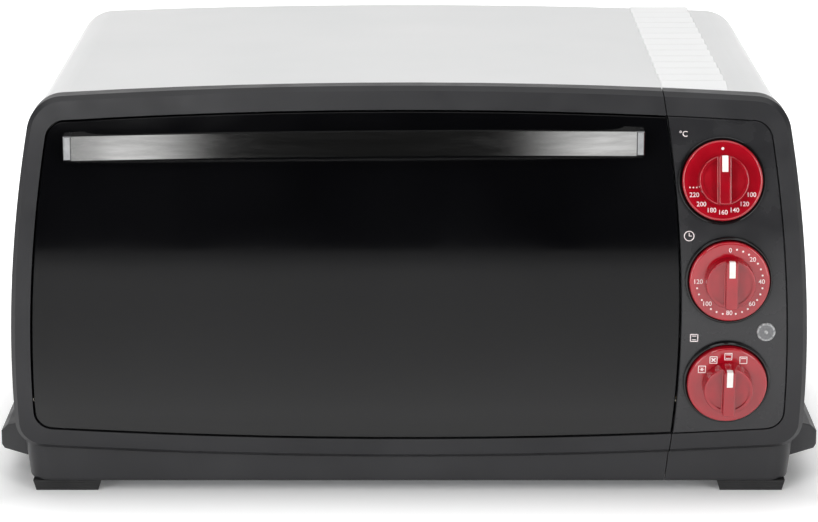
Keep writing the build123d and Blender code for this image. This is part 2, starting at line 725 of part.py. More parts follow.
nodes["upper_heater"] = heater(upper_rod_z)
nodes["lower_heater"] = heater(lower_rod_z)
insulators = []
for z in (upper_rod_z, lower_rod_z):
    for y in rod_ys:
        x0 = cavity_right - 3
        bush = rod_x(x0, cavity_right + sheet + insulator_length - 4, y, z, insulator_radius - 2)
        bush += rod_x(cavity_right + sheet, cavity_right + sheet + 4, y, z, insulator_radius)
        bush -= rod_x(x0 - 1, x0 + 40, y, z, rod_radius + seat_gap)
        insulators.append(bush)
nodes["heater_insulators"] = Compound(insulators)
clips = []
clip_width = 5.0
clip_reach = rod_radius + 2.0
for z in (upper_rod_z, lower_rod_z):
    for y in (rod_mid - rod_spread / 4, rod_mid + rod_spread / 4):
        clip = block(cavity_left, rod_left + clip_reach, y - clip_width / 2, y + clip_width / 2,
                     z - clip_reach, z + clip_reach)
        clip -= rod_y(rod_left, y - clip_width, y + clip_width, z, rod_radius + seat_gap)
        clips.append(clip)
nodes["heater_clips"] = Compound(clips)

# Insulation blanket over the cavity
blanket_low = cavity_ceiling + sheet + 0.3
blanket = block(cavity_left + 8, cavity_right - 8, cavity_front + 12, cavity_back - 10,
                blanket_low, blanket_low + 16)
nodes["insulation_blanket"] = fillet(blanket.edges().filter_by(Axis.Z), 6.0)

# Heat shield, fan housing, fan and motor beside the cavity
shield = block(shield_x, shield_x + sheet, cavity_front + 4, pan_back - 2, pan_z + sheet, wrapper_top - 10)
shield -= rod_x(shield_x - 1, shield_x + 2, fan_y, fan_z, fan_housing_radius + 1)
for z in (upper_rod_z, lower_rod_z):
    for y in rod_ys:
        shield -= rod_x(shield_x - 1, shield_x + 2, y, z, insulator_radius + 1)
shield -= rod_x(shield_x - 1, shield_x + 2, sensor_y, sensor_z, 3.0)
nodes["heat_shield"] = shield
housing_x = cavity_right + sheet
housing = rod_x(housing_x, housing_x + fan_housing_depth, fan_y, fan_z, fan_housing_radius)
housing -= rod_x(housing_x - 1, housing_x + fan_housing_depth - sheet, fan_y, fan_z, fan_housing_radius - sheet)
housing -= rod_x(housing_x, housing_x + fan_housing_depth + 1, fan_y, fan_z, fan_shaft_radius + 2)
nodes["fan_housing"] = housing
motor_x = housing_x + fan_housing_depth
motor = rod_x(motor_x, motor_x + motor_length, fan_y, fan_z, motor_radius)
motor += block(motor_x + 6, motor_x + 20, fan_y - 24, fan_y + 24, fan_z - 24, fan_z + 24)
motor -= rod_x(motor_x - 1, motor_x + 20.5, fan_y, fan_z, fan_shaft_radius + running)
nodes["fan_motor"] = motor
fan_x = housing_x + 3.0
nodes["fan_shaft"] = rod_x(fan_x - 1, motor_x + 20, fan_y, fan_z, fan_shaft_radius)
fan = rod_x(fan_x, fan_x + 1, fan_y, fan_z, 16.0) + rod_x(fan_x, fan_x + 8, fan_y, fan_z, 5.0)
blade_count = 12
for index in range(blade_count):
    blade = block(fan_x, fan_x + 9, 12, fan_radius, -0.6, 0.6)
    turn = 360.0 * index / blade_count
    fan += Pos(0, fan_y, fan_z) * Rot(turn, 0, 0) * blade
fan += rod_x(fan_x + 8, fan_x + 9, fan_y, fan_z, 26.0) - rod_x(fan_x + 7, fan_x + 10, fan_y, fan_z, 20.0)
fan -= rod_x(fan_x - 2, fan_x + 20, fan_y, fan_z, fan_shaft_radius)
nodes["fan_impeller"] = fan

# Thermostat sensor: a bulb in the cavity and a thin tube to the thermostat
bulb = rod_y(cavity_right - 6, sensor_y, sensor_y + 70, sensor_z, 2.0)
tube_radius = 0.8
tube_end_y = front_y(knob_places["temperature"][1]) + bracket_inset + control_bodies["temperature"][3] + 12
tube_x = knob_places["temperature"][0] - 7.8
tube = rod_x(cavity_right - 6, tube_x, sensor_y, sensor_z, tube_radius)
tube += rod_y(tube_x, tube_end_y - 8, sensor_y, sensor_z, tube_radius)
nodes["thermostat_sensor"] = bulb + tube

# Terminal block on the base pan
terminal_x = wrapper_half - 65.0
terminal_y = wrapper_back - 47.0
terminal = block(terminal_x, terminal_x + 36, terminal_y, terminal_y + 16, pan_z + sheet, pan_z + sheet + 14)
for index in range(3):
    terminal -= rod_z(terminal_x + 6 + index * 12, terminal_y + 8, pan_z + 6, pan_z + 20, 2.5)
nodes["terminal_block"] = terminal

# Door: bent glass, inner frame, hinge arms
glass = slab(opening_outline(-panel_gap), back_y, front_limit) & (bulge(0) - bulge(glass_thickness))
glass = glass & side_of_split(-1, split_gap)
glass_front = glass.faces().sort_by(Axis.Y)[0]
glass = chamfer(glass_front.edges(), edge_break)
handle_mid = (handle_left + handle_right) / 2
screw_inset = cap_width + (handle_foot - cap_width) / 2
screw_places = []
for x in (handle_left + screw_inset, handle_right - screw_inset):
    screw_places.append(control_frame(x, handle_high - handle_height / 2 - x**2 / (2 * top_sweep)))
for place in screw_places:
    glass -= place * stub(screw_radius + 0.5, -10, 10)
nodes["door_glass"] = glass

inner_side = bulge(glass_thickness + seat_gap)
door_frame = block(frame_left, frame_right, front_limit, frame_back, frame_low, frame_high) & inner_side
door_frame -= block(frame_left + sheet, frame_right - sheet, front_limit, frame_back - sheet,
                    frame_low + sheet, frame_high - sheet)
door_frame -= block(frame_left + window_margin, frame_right - window_margin, front_limit, frame_back + 1,
                    frame_low + window_margin, frame_high - window_margin)

arms = []
bushes = []
pins = []
pin_hole = rod_x(frame_left - 5, frame_right + 5, hinge_y, hinge_z, pin_radius)
bush_hole = rod_x(-overall_width, overall_width, hinge_y, hinge_z, pin_radius + running)
for wall_x, outward, seat_x in ((frame_left, -1, jamb_x), (frame_right, 1, mullion_x)):
    arm_far = wall_x + outward * arm_thickness
    arm = block(min(wall_x, arm_far), max(wall_x, arm_far), front_limit, frame_back, arm_low, arm_high)
    arms.append((arm & inner_side) - pin_hole)
    bush_far = seat_x + outward * bush_length
    bush = rod_x(min(seat_x, bush_far), max(seat_x, bush_far), hinge_y, hinge_z, bush_radius)
    bushes.append(bush - bush_hole)
    pin_near = wall_x - outward * 2 * sheet
    pin_far = bush_far - outward * running
    pins.append(rod_x(min(pin_near, pin_far), max(pin_near, pin_far), hinge_y, hinge_z, pin_radius))
door_frame -= pin_hole
nodes["door_inner_frame"] = door_frame
nodes["door_hinge_arms"] = Compound(arms)
nodes["hinge_bushes"] = Compound(bushes)
nodes["hinge_pins"] = Compound(pins)

# Handle: a bowed bar whose ends grow back to the glass
door_y = front_y(handle_high - handle_height / 2)
bow_front = apex_y - handle_lead
end_front = door_y - handle_end_depth
inside_left = handle_left + cap_width
inside_right = handle_right - cap_width
bow_rise = end_front - bow_front
bow_radius = ((handle_right - handle_left) ** 2 / 4 + bow_rise**2) / (2 * bow_rise)
behind_y = door_y + 14


def bow_y(x):
    """Depth of the handle's front along its bow."""
    return bow_front + bow_radius - math.sqrt(bow_radius**2 - (x - handle_mid) ** 2)


bar = ThreePointArc((handle_left, end_front), (handle_mid, bow_front), (handle_right, end_front))
bar += Polyline((handle_right, end_front), (handle_right, behind_y), (handle_left, behind_y),
                (handle_left, end_front))
bar_low = handle_high - 3 * handle_height
bar_solid = extrude(Plane.XY.offset(bar_low) * make_face(bar), 4 * handle_height)
finger_left = handle_left + handle_foot
finger_right = handle_right - handle_foot
blend_left = finger_left + handle_blend
blend_right = finger_right - handle_blend
blend_slope = (blend_left - handle_mid) / bow_radius
blend_y = bow_y(blend_left) + handle_strap
gap_line = Line((finger_left, behind_y), (finger_left, door_y))
gap_line += Spline((finger_left, door_y), (blend_left, blend_y),
                   tangents=((0.35, -1), (1, blend_slope)))
gap_line += ThreePointArc((blend_left, blend_y), (handle_mid, bow_front + handle_strap), (blend_right, blend_y))
gap_line += Spline((blend_right, blend_y), (finger_right, door_y),
                   tangents=((1, -blend_slope), (0.35, 1)))
gap_line += Polyline((finger_right, door_y), (finger_right, behind_y), (finger_left, behind_y))
finger_gap = extrude(Plane.XY.offset(bar_low - 1) * make_face(gap_line), 4 * handle_height + 2)


def crown(x, level):
    """Height at x of a line that keeps the sweep of the moulding's top edge."""
    return level - x**2 / (2 * top_sweep)


left_top = (handle_left - 1, crown(handle_left - 1, handle_high))
right_top = (handle_right + 1, crown(handle_right + 1, handle_high))
left_low = (left_top[0], left_top[1] - handle_height)
right_low = (right_top[0], right_top[1] - handle_height)
side_view = ThreePointArc(left_top, (handle_mid, crown(handle_mid, handle_high)), right_top)
side_view += Line(right_top, right_low)
side_view += ThreePointArc(right_low, (handle_mid, crown(handle_mid, handle_high - handle_height)), left_low)
side_view += Line(left_low, left_top)
handle = (bar_solid - finger_gap) & slab(make_face(side_view), behind_y, bow_front - 1)
handle = handle - bulge(0)
end_caps = []
for x0, x1 in ((handle_left, inside_left), (inside_right, handle_right)):
    cap = handle & block(x0, x1, bow_front - 1, behind_y, bar_low, handle_high + 1)
    end_caps.append(chamfer(cap.faces().sort_by(Axis.Y)[0].edges(), cap_edge))
handle &= block(inside_left, inside_right, bow_front - 1, behind_y, bar_low, handle_high + 1)
screws = []
for place in screw_places:
    handle -= place * stub(screw_radius, -1, 8)
    head = stub(screw_radius, -glass_thickness - 1, 8) + stub(4.0, -glass_thickness - 3.2, -glass_thickness - 0.4)
    screws.append(place * head)
nodes["door_handle"] = handle
nodes["handle_end_caps"] = Compound(end_caps)
nodes["handle_screws"] = Compound(screws)

# Screws that hold the rear panel
case_screws = []
screw_hole = 1.5
screw_x = wrapper_half - 15.0
screw_top = wrapper_top - 13.0
for x, z in ((-screw_x, 40), (-screw_x, 200), (0, screw_top), (screw_x, 200), (screw_x, 60), (0, 20)):
    pan -= rod_y(x, pan_back - sheet - 1, pan_back + 1, z, screw_hole)
    head = rod_y(x, wrapper_back, wrapper_back + 2.2, z, 3.6)
    head = fillet(head.edges().sort_by(Axis.Y)[-1:], 1.2)
    case_screws.append(head + rod_y(x, wrapper_back - 7, wrapper_back, z, screw_hole))
    panel -= rod_y(x, wrapper_back - 3, wrapper_back + 3, z, screw_hole)
nodes["case_screws"] = Compound(case_screws)
nodes["rear_panel"] = panel
nodes["base_pan"] = pan

for name, shape in nodes.items():
    export_step(shape, "parts/" + name + ".step")
print(len(nodes), "nodes")
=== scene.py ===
# %% [markdown]
# A countertop oven, dressed for its portrait
# The CAD model gives every solid its true size and place. Blender adds what CAD leaves out: paint, enamel,
# brushed steel, tinted glass, the printing on the dials, painted shade in the screw recesses and the studio
# light.
# Lengths are in metres, so a millimetre is 0.001, and the frame is the same as the CAD model's.

# %% Load the frame
import math

import bmesh
import bpy
from mathutils import Matrix, Vector


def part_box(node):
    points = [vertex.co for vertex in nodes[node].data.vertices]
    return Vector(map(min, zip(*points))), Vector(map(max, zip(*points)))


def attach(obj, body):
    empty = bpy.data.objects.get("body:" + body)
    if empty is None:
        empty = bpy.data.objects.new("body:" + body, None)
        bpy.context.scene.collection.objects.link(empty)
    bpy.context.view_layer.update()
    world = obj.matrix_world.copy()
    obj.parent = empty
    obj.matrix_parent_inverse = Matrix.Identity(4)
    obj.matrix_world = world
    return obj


MM = 0.001
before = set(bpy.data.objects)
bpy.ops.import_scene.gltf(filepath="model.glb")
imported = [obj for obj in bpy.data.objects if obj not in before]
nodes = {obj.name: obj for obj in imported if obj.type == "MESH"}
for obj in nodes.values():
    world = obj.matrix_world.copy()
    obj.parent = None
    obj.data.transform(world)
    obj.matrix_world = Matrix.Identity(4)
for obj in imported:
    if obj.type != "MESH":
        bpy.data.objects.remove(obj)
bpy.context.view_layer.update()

# %% [markdown]
# The front of the oven is part of a large cylinder lying along X. The dials, their printing and the handle
# screws all stand square to it, so one function gives a place on the front as a matrix whose Z points out of
# the oven. The cylinder's front-most line comes from the glass: its box starts exactly there.

# %% Places on the bowed front
BULGE_RADIUS = 320 * MM
BULGE_Z = 112 * MM
apex_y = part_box("door_glass")[0].y
KNOB_PLACES = {"temperature": (175.8, 186.0), "timer": (180.3, 130.5), "function": (180.5, 70.4)}
DIAL_HEIGHT = 5.5 * MM


def on_front(x_mm, z_mm, out=0.0):
    """Matrix of a point on the bowed front: X to the right, Y up along the front, Z out of it."""
    lean = math.asin((z_mm * MM - BULGE_Z) / BULGE_RADIUS)
    outward = Vector((0, -math.cos(lean), math.sin(lean)))
    upward = Vector((0, math.sin(lean), math.cos(lean)))
    place = Vector((x_mm * MM, apex_y + BULGE_RADIUS * (1 - math.cos(lean)), z_mm * MM)) + outward * out
    return Matrix.Translation(place) @ Matrix((Vector((1, 0, 0)), upward, outward)).transposed().to_4x4()


print("front-most line at", round(apex_y, 5))

# %% [markdown]
# Colours are written as the hex codes a designer would note down. Blender's shaders want linear light, so
# one function turns a code into linear red, green and blue.

# %% Colour helper


def colour(code):
    """Linear RGBA from an sRGB hex code."""
    parts = [int(code[i:i + 2], 16) / 255 for i in (0, 2, 4)]
    linear = [p / 12.92 if p <= 0.04045 else ((p + 0.055) / 1.055) ** 2.4 for p in parts]
    return (*linear, 1.0)


print("red dial in linear light:", [round(v, 3) for v in colour("A80B1E")])

# %% [markdown]
# A material is a small network of nodes. Wiring each by hand is long, so one helper adds a node of any kind,
# sets its options, fills its sockets with values or links and may pass its result on to another socket.

# %% Node helper


def add_node(tree, kind, sockets=None, output=0, into=None, **options):
    """Adds a node. Sockets maps a name or number to a value or a socket. Returns one of its outputs."""
    node = tree.nodes.new("ShaderNode" + kind)
    for option, value in options.items():
        setattr(node, option, value)
    for key, value in (sockets or {}).items():
        if isinstance(value, bpy.types.NodeSocket):
            tree.links.new(value, node.inputs[key])
        else:
            node.inputs[key].default_value = value
    if into is not None:
        tree.links.new(node.outputs[output], into)
    return node.outputs[output]


def new_finish(name, **shader):
    """A material with one Principled shader. Returns it, its tree, the shader and object coordinates."""
    material = bpy.data.materials.new(name)
    material.use_nodes = True
    tree = material.node_tree
    surface = tree.nodes["Principled BSDF"]
    for socket, value in shader.items():
        surface.inputs[socket.replace("_", " ")].default_value = value
    return material, tree, surface, add_node(tree, "TexCoord", output="Object")


# %% [markdown]
# Real surfaces are never one flat colour. A finish is built up from three layers that read the object's own
# coordinates: slow patches that shift the colour by a few percent, handling marks that change the gloss, and
# a fine grain that goes to the bump. The sizes of the patterns are the real ones, in millimetres.

# %% Layers that every finish shares
COLOUR_A, COLOUR_B, COLOUR_RESULT = 6, 7, 2        # the colour sockets of the Mix node
PATCH_SPAN = (0.3, 0.7)        # noise seldom leaves these spans, so they fill the whole blend
MARK_SPAN = (0.35, 0.7)
STREAK_SPAN = (0.35, 0.65)


def noise(tree, place, size_mm, detail=3.0, stretch=(1, 1, 1)):
    """Noise with features about size_mm across, stretched along any axis by a factor."""
    scale = tuple(1 / s for s in stretch)
    mapped = add_node(tree, "Mapping", {"Vector": place, "Scale": scale})
    return add_node(tree, "TexNoise", {"Vector": mapped, "Scale": 1000 / size_mm, "Detail": detail})


def stretched(value, span, ends=(0.0, 1.0)):
    """Sockets of a Map Range node that takes a value from one span to two ends, and not past them."""
    return {"Value": value, "From Min": span[0], "From Max": span[1], "To Min": ends[0], "To Max": ends[1]}


def colour_layer(tree, surface, share, base, shade):
    """Blends two colours by a share from 0 to 1."""
    add_node(tree, "Mix", {"Factor": share, COLOUR_A: colour(base), COLOUR_B: colour(shade)},
             output=COLOUR_RESULT, into=surface.inputs["Base Color"], data_type="RGBA")


def gloss_layer(tree, surface, marks, span, gloss):
    """Lets marks move the roughness between the lowest and highest value of the gloss."""
    add_node(tree, "MapRange", stretched(marks, span, gloss), into=surface.inputs["Roughness"])


def relief_layer(tree, surface, height, depth_mm, strength=1.0):
    """Sends a height pattern to the shader's normal."""
    add_node(tree, "Bump", {"Height": height, "Distance": depth_mm * MM, "Strength": strength},
             into=surface.inputs["Normal"])


def layered(name, base, shade, gloss, grain_mm, grain_depth_mm, patch_mm=45, **shader):
    """A moulded or painted finish. The marks are a third as large as the patches."""
    material, tree, surface, place = new_finish(name, **shader)
    patches = add_node(tree, "MapRange", stretched(noise(tree, place, patch_mm, 2.0), PATCH_SPAN))
    colour_layer(tree, surface, patches, base, shade)
    gloss_layer(tree, surface, noise(tree, place, patch_mm / 3, 5.0), MARK_SPAN, gloss)
    relief_layer(tree, surface, noise(tree, place, grain_mm, 2.0), grain_depth_mm, 0.5)
    return material


SCRATCH_MM = 0.35
STREAK_MM = 4.0


def brushed(name, base, shade, gloss, along, depth_mm):
    """Metal with fine straight scratches. Along is how far each axis stretches them."""
    material, tree, surface, place = new_finish(name, Metallic=1.0)
    scratches = noise(tree, place, SCRATCH_MM, 2.0, along)
    streaks = noise(tree, place, STREAK_MM, 3.0, along)
    both = add_node(tree, "Math", {0: scratches, 1: streaks}, operation="MULTIPLY")
    colour_layer(tree, surface, add_node(tree, "MapRange", stretched(streaks, STREAK_SPAN)), base, shade)
    gloss_layer(tree, surface, both, (0.1, 0.45), gloss)
    relief_layer(tree, surface, scratches, depth_mm, 0.35)
    return material


print("layers ready: colour, gloss and relief")

# %% [markdown]
# The front moulding is dyed black plastic with a very fine spark-eroded grain, which is what stops it from
# shining like the glass. The controls sit on a smoother plate of the same plastic. The feet are rubber with
# fine ribs round them, drawn by a wave that runs up the oven instead of by the grain.

# %% Black mouldings
bezel_plastic = layered("moulded_black_plastic", "242426", "2B2B2D", gloss=(0.34, 0.46),
                        grain_mm=0.5, grain_depth_mm=0.012, IOR=1.46, Specular_IOR_Level=0.35)
plate_plastic = layered("satin_control_plate", "212123", "29292B", gloss=(0.22, 0.32),
                        grain_mm=0.35, grain_depth_mm=0.004, IOR=1.46)
grip_plastic = layered("grained_grip_plastic", "2B2B2D", "353537", gloss=(0.45, 0.6),
                       grain_mm=0.8, grain_depth_mm=0.03, IOR=1.46)
ring_plastic = layered("gloss_ring_plastic", "0B0B0C", "121213", gloss=(0.12, 0.2),
                       grain_mm=1.5, grain_depth_mm=0.002, IOR=1.46)
inner_plastic = layered("bare_switch_plastic", "232325", "2E2E30", gloss=(0.5, 0.65),
                        grain_mm=0.7, grain_depth_mm=0.01, IOR=1.46)
foot_rubber = layered("foot_rubber", "151516", "1E1E1F", gloss=(0.65, 0.85),
                      grain_mm=0.6, grain_depth_mm=0.25, IOR=1.5)
tree = foot_rubber.node_tree
RIB_SCALE = 262.0        # one rib every 1.2 mm, because the wave node fits 20 / (2 pi) ribs into one unit
foot_relief = tree.nodes["Bump"].inputs
foot_relief["Strength"].default_value = 1.0
add_node(tree, "TexWave", {"Vector": add_node(tree, "TexCoord", output="Object"), "Scale": RIB_SCALE},
         output=1, into=foot_relief["Height"], bands_direction="Z")
print("black finishes made")

# %% [markdown]
# The dials and knobs are red plastic moulded against polished steel. The red is deep, and light wanders a
# little way into it, so a touch of clear coat over a slightly rough base comes closer than one sharp gloss.

# %% Red dials, knobs, white pointers and ink
dial_red = layered("red_dial_plastic", "A80B1E", "9A091A", gloss=(0.1, 0.18), grain_mm=0.9,
                   grain_depth_mm=0.003, patch_mm=12, IOR=1.5, Coat_Weight=0.6, Coat_Roughness=0.06)
knob_red = layered("red_knob_plastic", "A20B1D", "8E0818", gloss=(0.14, 0.22), grain_mm=0.7,
                   grain_depth_mm=0.004, patch_mm=10, IOR=1.5, Coat_Weight=0.5, Coat_Roughness=0.08)
pointer_white = layered("white_pointer_plastic", "F0EEEA", "E4E1DC", gloss=(0.35, 0.45), grain_mm=0.5,
                        grain_depth_mm=0.003, patch_mm=5, IOR=1.46)
print_ink = layered("pale_printing_ink", "F6EDED", "EEE0E0", gloss=(0.5, 0.6), grain_mm=0.25,
                    grain_depth_mm=0.002, patch_mm=3, IOR=1.46)
print("red and white finishes made")

# %% [markdown]
# The wrapper is sheet steel with baked white enamel paint. Sprayed paint dries with a skin like orange peel:
# shallow bumps a little over a millimetre across. They are what breaks up its reflections.

# %% White wrapper paint
wrapper_paint = layered("white_baked_paint", "E8E8E8", "E2E3E3", gloss=(0.3, 0.36), grain_mm=1.6,
                        grain_depth_mm=0.003, patch_mm=120, IOR=1.5, Coat_Weight=0.2, Coat_Roughness=0.1)
print("wrapper paint made")

# %% [markdown]
# Inside, the cavity is grey vitreous enamel, and both trays are black enamel with pale specks. Specks are
# cells of a Voronoi pattern: only the smallest distances to a cell's heart are kept, the rest is cut away.

# %% Speckled enamel
SPECK_EDGE = (0.1, 0.18)
SMEAR_MM, RIPPLE_MM = 18, 3.5


def enamel(name, base, speck, gloss, speck_mm):
    """Glassy enamel with specks of a second colour."""
    material, tree, surface, place = new_finish(name, IOR=1.52, Coat_Weight=0.4, Coat_Roughness=0.08)
    cells = add_node(tree, "TexVoronoi", {"Vector": place, "Scale": 1000 / speck_mm}, output="Distance")
    specks = add_node(tree, "MapRange", stretched(cells, SPECK_EDGE, (1.0, 0.0)))
    colour_layer(tree, surface, specks, base, speck)
    gloss_layer(tree, surface, noise(tree, place, SMEAR_MM), MARK_SPAN, gloss)
    relief_layer(tree, surface, noise(tree, place, RIPPLE_MM), 0.03, 0.4)
    return material


cavity_enamel = enamel("grey_cavity_enamel", "56585A", "8C8F92", gloss=(0.22, 0.36), speck_mm=3.0)
tray_enamel = enamel("black_tray_enamel", "141415", "8A8C8E", gloss=(0.16, 0.28), speck_mm=2.6)
print("enamels made")

# %% [markdown]
# Brushed scratches run one way, so their noise is stretched along that way and not across: two hundred
# times along X on the handle, forty times on the fan's sheet. A lathe leaves rings instead, so on turned
# pins the noise is stretched across X. The handle's real face leans back by about 12 degrees. Ours stands
# upright, so its shading normal is tipped up by as much, and it mirrors the room instead of the floor.

# %% Brushed and turned metals
handle_steel = brushed("brushed_handle_steel", "B4B4B3", "A2A2A1", gloss=(0.08, 0.15),
                       along=(200, 1, 1), depth_mm=0.004)
pin_steel = brushed("turned_pin_steel", "C2C2C0", "A9A9A7", gloss=(0.2, 0.32),
                    along=(1, 40, 40), depth_mm=0.002)
fan_aluminium = brushed("rolled_aluminium", "D2D3D4", "BDBEC0", gloss=(0.3, 0.45),
                        along=(1, 40, 1), depth_mm=0.003)
FACE_LEAN = 0.21        # the tangent of 12 degrees
tree = handle_steel.node_tree
facing = add_node(tree, "NewGeometry", output="Normal")
tipped = add_node(tree, "VectorMath", {0: facing, 1: (0, 0, FACE_LEAN)}, operation="ADD")
add_node(tree, "VectorMath", {0: tipped}, into=tree.nodes["Bump"].inputs["Normal"], operation="NORMALIZE")
print("brushed metals made")

# %% [markdown]
# Cast, plated and drawn metals show no lines, so they are layered finishes that are wholly metallic. The rack
# is chromed wire, the bushes are brass, and the handle's ends are zinc castings with a satin skin.

# %% Cast and plated metals
cap_zinc = layered("satin_cast_end_cap", "8E8F90", "7E7F81", gloss=(0.2, 0.28), grain_mm=0.6,
                   grain_depth_mm=0.006, patch_mm=8, Metallic=1.0)
chromed_wire = layered("chromed_wire", "D6D7D8", "C4C5C6", gloss=(0.08, 0.18), grain_mm=2.5,
                       grain_depth_mm=0.003, patch_mm=15, Metallic=1.0)
bush_brass = layered("turned_brass", "C9A85A", "B6934A", gloss=(0.22, 0.35), grain_mm=0.4,
                     grain_depth_mm=0.003, patch_mm=6, Metallic=1.0)
screw_plate = layered("zinc_plated_screw", "B4B6B8", "9EA0A3", gloss=(0.22, 0.4), grain_mm=0.5,
                      grain_depth_mm=0.004, patch_mm=5, Metallic=1.0)
print("cast and plated metals made")

# %% [markdown]
# Galvanised sheet is steel dipped in zinc, which sets in flat crystals. Each crystal takes the light a little
# differently, so one random grey for each cell of a Voronoi pattern drives both its colour and its gloss.

# %% Galvanised sheet
CRYSTAL_MM, SKIN_MM = 4, 1.4
zinc_sheet, tree, surface, place = new_finish("galvanised_sheet", Metallic=1.0)
crystals = add_node(tree, "TexVoronoi", {"Vector": place, "Scale": 1000 / CRYSTAL_MM}, output="Color")
grey = add_node(tree, "SeparateColor", {0: crystals})
colour_layer(tree, surface, grey, "AAADB0", "A0A3A6")
gloss_layer(tree, surface, grey, (0, 1), (0.36, 0.43))
relief_layer(tree, surface, noise(tree, place, SKIN_MM), 0.006, 0.4)
print("galvanised sheet made, crystals of", CRYSTAL_MM, "mm")

# %% [markdown]
# A heating rod goes in bright and comes out of its first hour brown and blue. The tint follows slow noise
# along the rod, and the rest stays a dull dark steel. Round it are white ceramic and a mat of mineral fibre,
# whose grain is deep enough to look felted.

# %% Heat-stained rods, ceramics and fibre
STAIN_MM, SOOT_MM, SCALE_MM = 30, 4, 1.0
heater_steel, tree, surface, place = new_finish("heat_stained_sheath", Metallic=1.0)
stain = add_node(tree, "MapRange", stretched(noise(tree, place, STAIN_MM), STREAK_SPAN))
colour_layer(tree, surface, stain, "5C5550", "7D6A55")
gloss_layer(tree, surface, noise(tree, place, SOOT_MM), PATCH_SPAN, (0.4, 0.6))
relief_layer(tree, surface, noise(tree, place, SCALE_MM), 0.01, 0.4)
insulator_ceramic = layered("white_ceramic", "E2DDCF", "D6D0C0", gloss=(0.5, 0.65), grain_mm=0.6,
                            grain_depth_mm=0.01, patch_mm=8, IOR=1.55)
blanket_fibre = layered("mineral_fibre", "D9D2B4", "C6BC98", gloss=(0.9, 1.0), grain_mm=1.2,
                        grain_depth_mm=0.3, patch_mm=14)
print("finishes of the hot parts made")

# %% [markdown]
# The door is one bent sheet of glass, smoked and printed black on its inner side around the window. From
# outside it reads as near black with a soft sheen. Transmission with a very dark tint gives that, and the low
# specular level stands for the coating that keeps kitchen lights out of it. The coating thins out towards
# the low edge, so the level rises there.

# %% Smoked door glass
COATING_EDGE = (0.04, 0.15)        # heights between which the coating grows to its full effect
COATING_CURVE = 2.3
COATED_TO_BARE = (0.03, 0.46)
FILM_MM, HAZE_MM, WAVE_MM = 90, 35, 160
door_tint, tree, surface, place = new_finish(
    "smoked_door_glass", IOR=1.5, Transmission_Weight=0.35, Specular_IOR_Level=0.5)
film = add_node(tree, "MapRange", stretched(noise(tree, place, FILM_MM, 2.0), MARK_SPAN))
colour_layer(tree, surface, film, "08080A", "0E0E10")
gloss_layer(tree, surface, noise(tree, place, HAZE_MM, 4.0), PATCH_SPAN, (0.07, 0.13))
relief_layer(tree, surface, noise(tree, place, WAVE_MM, 1.0), 0.05, 0.2)
up_the_door = add_node(tree, "SeparateXYZ", {0: place}, output="Z")
bare_share = add_node(tree, "MapRange", stretched(up_the_door, COATING_EDGE, (1.0, 0.0)))
bare_share = add_node(tree, "Math", {0: bare_share, 1: COATING_CURVE}, operation="POWER")
add_node(tree, "MapRange", stretched(bare_share, (0.0, 1.0), COATED_TO_BARE),
         into=surface.inputs["Specular IOR Level"])
print("door glass made")

# %% [markdown]
# The indicator lens is a clear bead with small facets on its inner side, a pale rim and a pale dot in its
# middle. Rim and dot are rings round the lens's own axis, so they are drawn by the distance from that axis.

# %% Indicator lens and lamp
LENS_PLACE = (202.0, 100.3)
FACET_MM = 1.1
RIM_EDGE = (4.0 * MM, 4.4 * MM)
DOT_EDGE = (0.9 * MM, 1.3 * MM)
lens_clear, tree, surface, place = new_finish("clear_lens", IOR=1.49, Transmission_Weight=0.35)
facets = add_node(tree, "TexVoronoi", {"Vector": place, "Scale": 1000 / FACET_MM}, output="Distance")
parts = add_node(tree, "SeparateXYZ", {0: place}).node.outputs
flat = add_node(tree, "CombineXYZ", {0: parts["X"], 1: parts["Z"]})
centre = (LENS_PLACE[0] * MM, LENS_PLACE[1] * MM, 0)
from_axis = add_node(tree, "VectorMath", {0: flat, 1: centre}, output="Value", operation="DISTANCE")
rim = add_node(tree, "MapRange", stretched(from_axis, RIM_EDGE))
dot = add_node(tree, "MapRange", stretched(from_axis, DOT_EDGE, (1, 0)))
layers = colour("8B8C8E")
for share, code in ((rim, "E6E7E8"), (dot, "F2F2F2"), (facets, "77787A")):
    layers = add_node(tree, "Mix", {"Factor": share, COLOUR_A: layers, COLOUR_B: colour(code)},
                      output=COLOUR_RESULT, data_type="RGBA")
tree.links.new(layers, surface.inputs["Base Color"])
gloss_layer(tree, surface, facets, (0, 1), (0.08, 0.2))
relief_layer(tree, surface, facets, 0.15, 0.7)
lamp_glow = layered("neon_lamp_glass", "C8683C", "A85430", gloss=(0.15, 0.25), grain_mm=1.0,
                    grain_depth_mm=0.004, patch_mm=4, IOR=1.5)
print("lens and lamp made")

# %% [markdown]
# Every CAD node takes one finish. Listing them by finish, instead of node by node, makes a wrong one easy to
# see.

